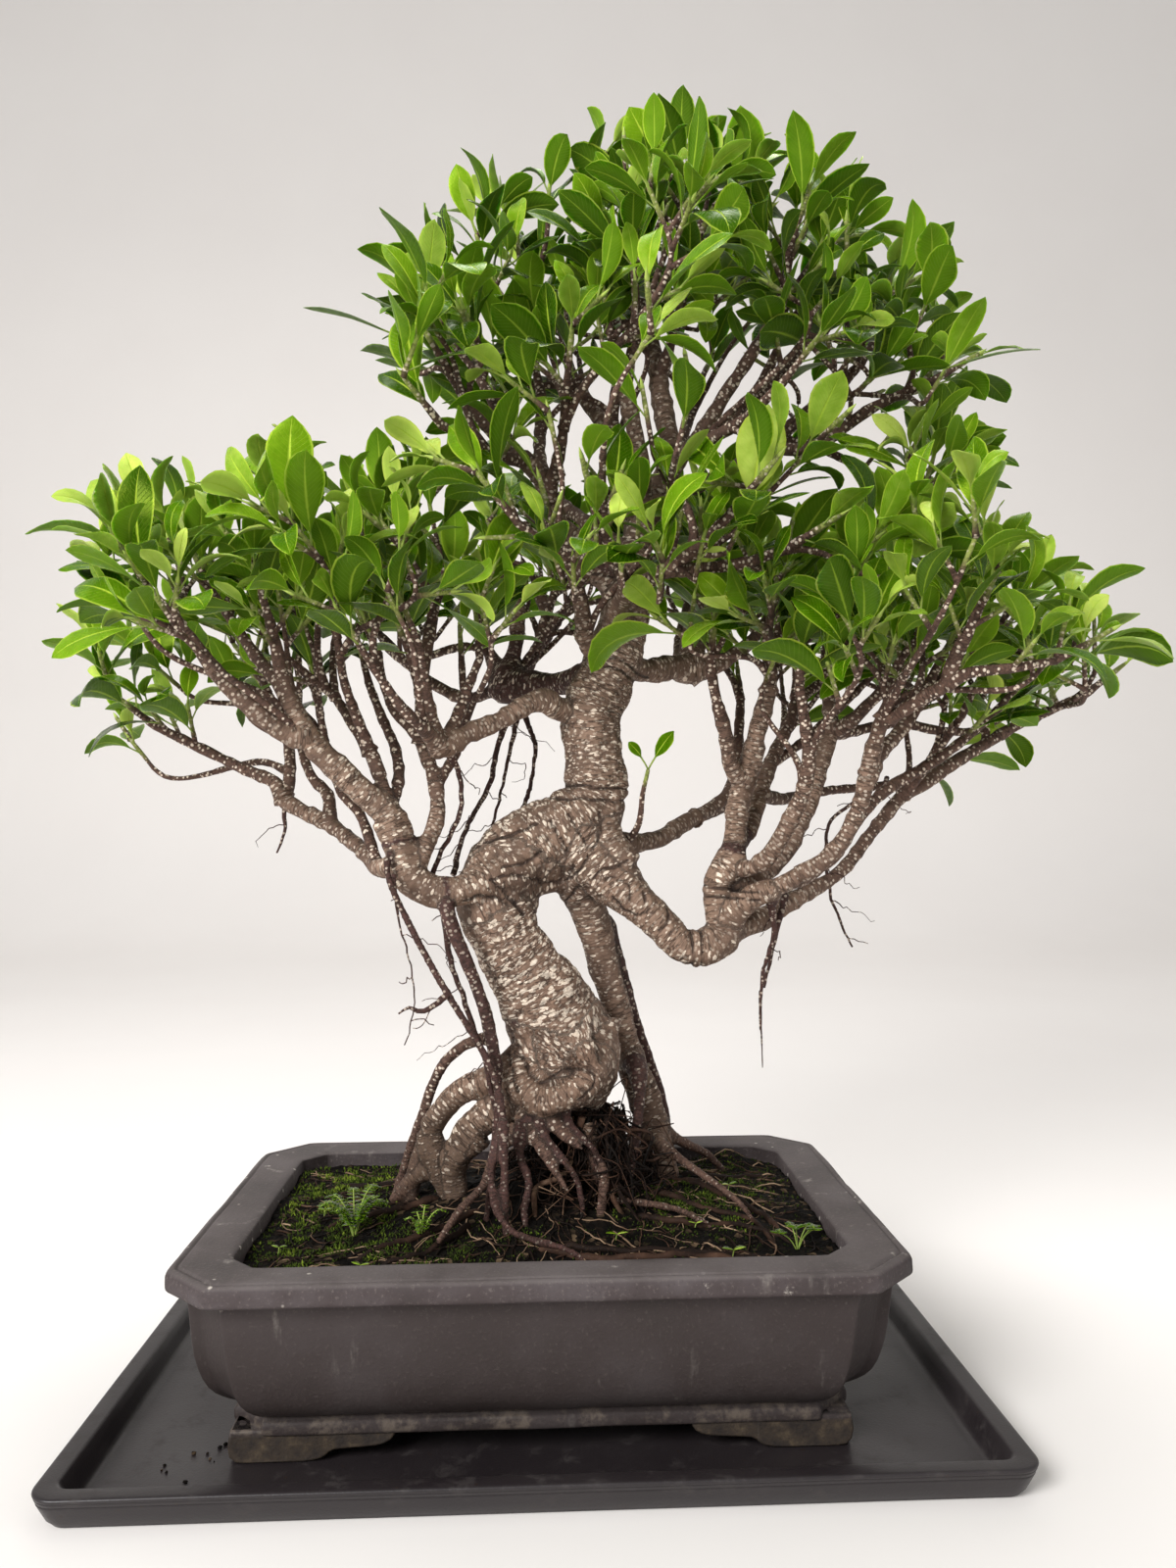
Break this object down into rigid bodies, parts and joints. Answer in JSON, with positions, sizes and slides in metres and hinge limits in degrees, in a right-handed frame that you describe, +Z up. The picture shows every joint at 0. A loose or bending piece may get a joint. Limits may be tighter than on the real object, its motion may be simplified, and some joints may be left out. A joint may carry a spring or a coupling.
{
  "type": "ficus bonsai in a clay pot",
  "caption": "Informal-upright ficus bonsai with aerial roots and leaf sprays, rooted in soil in a rectangular cant-cornered clay pot that stands on a drip tray.",
  "frame": {"origin": "on the table plane under the middle of the pot, at the drip tray's underside", "axes": "+X to the right of the front view, +Y away from the viewer, +Z up"},
  "size_m": [0.8192, 0.4269, 0.908],
  "materials": {
    "clay": "unglazed dark brown-grey clay, matt, with lime bloom",
    "tray_plastic": "moulded brown plastic, satin",
    "soil": "damp dark potting soil with moss",
    "bark": "grey-brown bark with pale lenticels, matt",
    "leaf": "leathery green leaves, soft gloss"
  },
  "bodies": {
    "root": {"tray": "tray_plastic", "pot": "clay", "soil": "soil", "wood": "bark", "seedling_left": "leaf", "seedling_middle": "leaf", "seedling_right": "leaf", "spray_01": "leaf", "spray_02": "leaf", "spray_03": "leaf", "spray_04": "leaf", "spray_05": "leaf", "spray_06": "leaf", "spray_07": "leaf", "spray_08": "leaf", "spray_09": "leaf", "spray_10": "leaf", "spray_11": "leaf", "spray_12": "leaf", "spray_13": "leaf", "spray_14": "leaf", "spray_15": "leaf", "spray_16": "leaf", "spray_17": "leaf", "spray_18": "leaf", "spray_19": "leaf", "spray_20": "leaf", "spray_21": "leaf", "spray_22": "leaf", "spray_23": "leaf", "spray_24": "leaf", "spray_25": "leaf", "spray_26": "leaf", "spray_27": "leaf", "spray_28": "leaf", "spray_29": "leaf", "spray_30": "leaf", "spray_31": "leaf", "spray_32": "leaf", "spray_33": "leaf", "spray_34": "leaf", "spray_35": "leaf", "spray_36": "leaf", "spray_37": "leaf", "spray_38": "leaf", "spray_39": "leaf", "spray_40": "leaf", "spray_41": "leaf", "spray_42": "leaf", "spray_43": "leaf", "spray_44": "leaf"}
  },
  "joints": []
}
